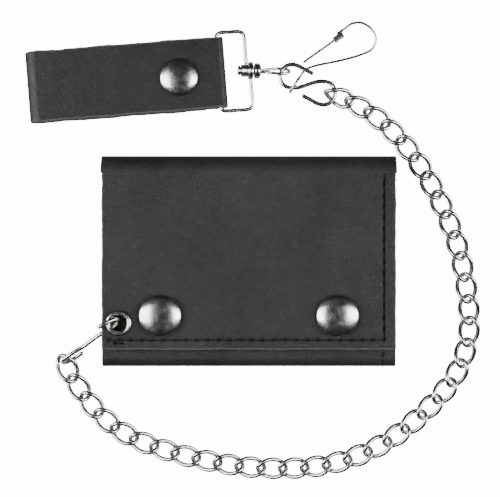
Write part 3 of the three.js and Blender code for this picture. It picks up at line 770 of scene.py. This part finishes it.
# ---- ring and swivel ----
STRAP_TURN = math.radians(4.5)
BAR_HEIGHT = 6.15
COLLAR_AT = 11
STRAP_PLACE = Matrix.Translation((-11.2, 70.2, 0)) @ Matrix.Rotation(STRAP_TURN, 4, "Z")
SWIVEL_PLACE = (STRAP_PLACE @ Matrix.Translation((0, 0, BAR_HEIGHT))
                @ Matrix.Rotation(math.radians(6.6), 4, "Y"))
ON_AXIS = (Matrix.Translation((COLLAR_AT, 0, 0)) @ Matrix.Rotation(-STRAP_TURN, 4, "Z")
           @ Matrix.Translation((-COLLAR_AT, 0, 0)))
TURNED = Matrix.Rotation(math.pi / 2, 4, "Y")
RING_ROUTE = [
    (10.5, 3.0), (10.5, 8.0), (10.5, 12.6), (9.9, 14.2), (8.4, 14.8), (5.0, 14.8), (2.0, 14.8), (0.6, 14.3),
    (0, 12.8), (0, 6.0), (0, -6.0), (0, -13.0), (0.45, -14.1), (1.6, -14.4), (6.0, -14.4), (9.6, -14.4),
    (11.2, -13.8), (11.75, -12.2), (11.75, -7.0), (11.75, -2.0),
]
ring_wire = moved(tube(through([(u, v, 0) for u, v in RING_ROUTE], 8), 0.75, 16), SWIVEL_PLACE)


def barrel(start, profile):
    """A solid turned about the swivel's axis."""
    return moved(lathe(profile, 48), SWIVEL_PLACE @ ON_AXIS @ Matrix.Translation((start, 0, 0)) @ TURNED)


collar = barrel(8.4, [(1.25, 0.1), (1.35, 0), (2.1, 0), (2.35, 0.2), (2.35, 2.4), (2.5, 2.65), (3.1, 2.7),
                      (3.3, 2.9), (3.3, 4.2), (3.1, 4.4), (1.35, 4.4), (1.25, 4.3), (1.25, 0.1)])
make_piece("ring_frame", *merge(ring_wire, collar), [NICKEL], "ring", ["strap_ring"], "nickel")

plane = math.radians(-65)
EYE_ROUTE = [
    (14.6, 0.9), (17.0, 1.3), (20.0, 2.4), (23.0, 3.0), (25.6, 2.3), (26.6, 0), (25.6, -2.3), (23.0, -3.0),
    (20.0, -2.4), (17.0, -1.3), (14.6, -0.9),
]
eye_path = [(u, w * math.cos(plane), w * math.sin(plane)) for u, w in EYE_ROUTE]
eye_wire = moved(tube(through(eye_path, 8), 0.6, 14), SWIVEL_PLACE @ ON_AXIS)
shank = barrel(7.2, [(0, 0), (1.6, 0), (1.9, 0.25), (1.9, 0.7), (1.7, 0.9), (0.95, 0.9), (0.95, 6.2),
                     (2.7, 6.2), (2.9, 6.4), (2.9, 7.8), (2.75, 8.05), (2.1, 8.5), (1.9, 8.6), (0, 8.6)])
make_piece("swivel_shank", *merge(shank, eye_wire), [NICKEL], "swivel", ["swivel_eye"], "nickel")

# ---- wire snap hook and gate ----
SNAP_EYE = (16.5, 64.9)
SNAP_WIRE = 0.5
eye_turn = math.radians(57)
hook_way = np.array((math.cos(eye_turn), math.sin(eye_turn), 0))


def at_eye(out, z):
    return tuple(np.array((*SNAP_EYE, z)) + hook_way * out)


SNAP_ROUTE = [
    at_eye(4.9, 3.7), at_eye(3.4, 4.9), at_eye(1.6, 5.6), at_eye(0, 5.5), at_eye(-1.6, 4.5),
    at_eye(-2.0, 3.0), at_eye(-1.0, 1.4), at_eye(0.8, 0.85), at_eye(4.0, 0.85), at_eye(7.6, 0.9),
    (23.5, 72.9, 1.0), (34.5, 75.3, 1.6),
    (42.0, 77.4, 1.9), (46.3, 79.6, 2.0), (47.6, 83.2, 2.0), (46.0, 86.9, 2.0), (42.3, 89.3, 2.0),
    (38.6, 89.0, 2.0), (35.6, 86.9, 2.0), (33.2, 85.3, 2.0),
]
make_piece("snap_hook_wire", *tube(through(SNAP_ROUTE, 8), SNAP_WIRE, 14), [NICKEL], "snap_hook",
           ["snap_hook"], "nickel")

root, tip = np.array((20.6, 74.6, 2.0)), np.array((35.2, 85.0, 2.0))
length = np.linalg.norm(tip - root)
gate_turn = math.atan2(tip[1] - root[1], tip[0] - root[0])
GATE_PLACE = Matrix.Translation(tuple(root)) @ Matrix.Rotation(gate_turn, 4, "Z")
gate_route = [(0, 0, 0), (length * 0.3, 0, 0), (length * 0.6, 0, 0), (length - 3.2, 0, 0)]
gate_wire = moved(tube(through(gate_route, 6), SNAP_WIRE, 14), GATE_PLACE)
MOUTH, WALL, CORNER = 1.15, 1.0, 0.45
channel_line = (straight((MOUTH, WALL), (-WALL + CORNER, WALL), 0.4)[:-1]
                + arc((-WALL + CORNER, WALL - CORNER), CORNER, 90, 180, 6)[:-1]
                + straight((-WALL, WALL - CORNER), (-WALL, -WALL + CORNER), 0.4)[:-1]
                + arc((-WALL + CORNER, -WALL + CORNER), CORNER, 180, 270, 6)[:-1]
                + straight((-WALL + CORNER, -WALL), (MOUTH, -WALL), 0.4))
channel_across = np.linspace(length - 4.0, length + 0.1, 14)
channel = sheet(channel_line, 0.3, channel_across, GATE_PLACE, rounding=0.4)[:2]
make_piece("gate_wire", *merge(gate_wire, channel), [NICKEL], "gate", ["hook_gate"], "nickel")

# ---- belt strap ----
SHEET_TO_STRAP = STRAP_PLACE @ Matrix(((0, 1, 0, 0), (1, 0, 0, 0), (0, 0, 1, 0), (0, 0, 0, 1)))
STRAP_THICK, STRAP_HALF = 1.5, 13.25
strap_across = np.linspace(-STRAP_HALF, STRAP_HALF, 56)
SNAP_AT = (-14.8, -0.8)
BEND_U, BEND_MID = -67.15, 3.6
LOWER_MID, TURN_MID, UPPER_MID = 0.75, 4.35, 7.95
LOOP_MID = 1.8

strap_line = (straight((-26, TURN_MID), (0, TURN_MID), 1.0)[:-1]
              + arc((0, BAR_HEIGHT), LOOP_MID, -90, 90, 16)[:-1]
              + straight((0, UPPER_MID), (BEND_U, UPPER_MID), 0.8))
add_sheet("strap_upper_leaf", strap_line, STRAP_THICK, strap_across, SHEET_TO_STRAP, STRAP_HIDE,
          "strap_front", ["strap_front"], "leather", ends=(True, False), wave=0.22, seed=3.0)
bend_line = arc((BEND_U, TURN_MID), BEND_MID, 90, 270, 30)
strap_bend = add_sheet("strap_bend", bend_line, STRAP_THICK, strap_across, SHEET_TO_STRAP, STRAP_HIDE,
                       slot="leather", ends=(False, False))
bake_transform(strap_bend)
lower_line = straight((BEND_U, LOWER_MID), (-5.5, LOWER_MID), 0.8)
add_sheet("strap_lower_leaf", lower_line, STRAP_THICK, strap_across, SHEET_TO_STRAP, STRAP_HIDE,
          "strap_back", ["strap_back"], "leather", ends=(False, True), wave=0.22, seed=9.0)
snap_place = STRAP_PLACE @ Matrix.Translation((*SNAP_AT, 0))
profile = cap_profile(radius=7.05, dome=2.0, top=8.7, bottom=3.6, socket=2.6)
make_piece("strap_snap", *moved(lathe(profile, 96), snap_place), [NICKEL],
           "strap_front", ["strap_snap_cap"], "nickel")
profile = stud_profile(top=STRAP_THICK, post=0.1, flange=0.45, nub=3.9)
make_piece("strap_stud", *moved(lathe(profile, 48), snap_place), [NICKEL],
           "strap_back", ["strap_snap_stud"], "nickel")

# ---- floor and lights ----
FLOOR_REACH = 3.0
FLOOR_DROP = 0.1
FLOOR_GLOW = 14.0
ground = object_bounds()[0].z - FLOOR_DROP
floor_corners = [(x * FLOOR_REACH, y * FLOOR_REACH, ground) for x, y in ((-1, -1), (1, -1), (1, 1), (-1, 1))]
mesh = bpy.data.meshes.new("floor")
mesh.from_pydata(floor_corners, [], [(0, 1, 2, 3)])
mesh.materials.append(floor_material("floor", FLOOR_GLOW))
floor = bpy.data.objects.new("floor", mesh)
bpy.context.collection.objects.link(floor)


def add_panel(name, location, width, height, power, glossy=True):
    """A soft rectangular light that faces the middle of the part."""
    light = bpy.data.lights.new(name, "AREA")
    light.shape, light.size, light.size_y, light.energy = "RECTANGLE", width, height, power
    obj = bpy.data.objects.new(name, light)
    bpy.context.collection.objects.link(obj)
    obj.location = location
    obj.rotation_euler = (Vector() - Vector(location)).to_track_quat("-Z", "Y").to_euler()
    obj.visible_glossy = glossy


add_panel("left_panel", (-0.85, 0.0, 0.62), 0.55, 1.3, 24)
add_panel("right_panel", (0.85, 0.0, 0.62), 0.45, 1.3, 20)
add_panel("top_fill", (0, 0.1, 1.3), 1.8, 1.8, 5, glossy=False)
world = bpy.data.worlds.new("studio")
world.use_nodes = True
world.node_tree.nodes["Background"].inputs["Color"].default_value = (0.9, 0.92, 0.95, 1)
world.node_tree.nodes["Background"].inputs["Strength"].default_value = 0.015
bpy.context.scene.world = world
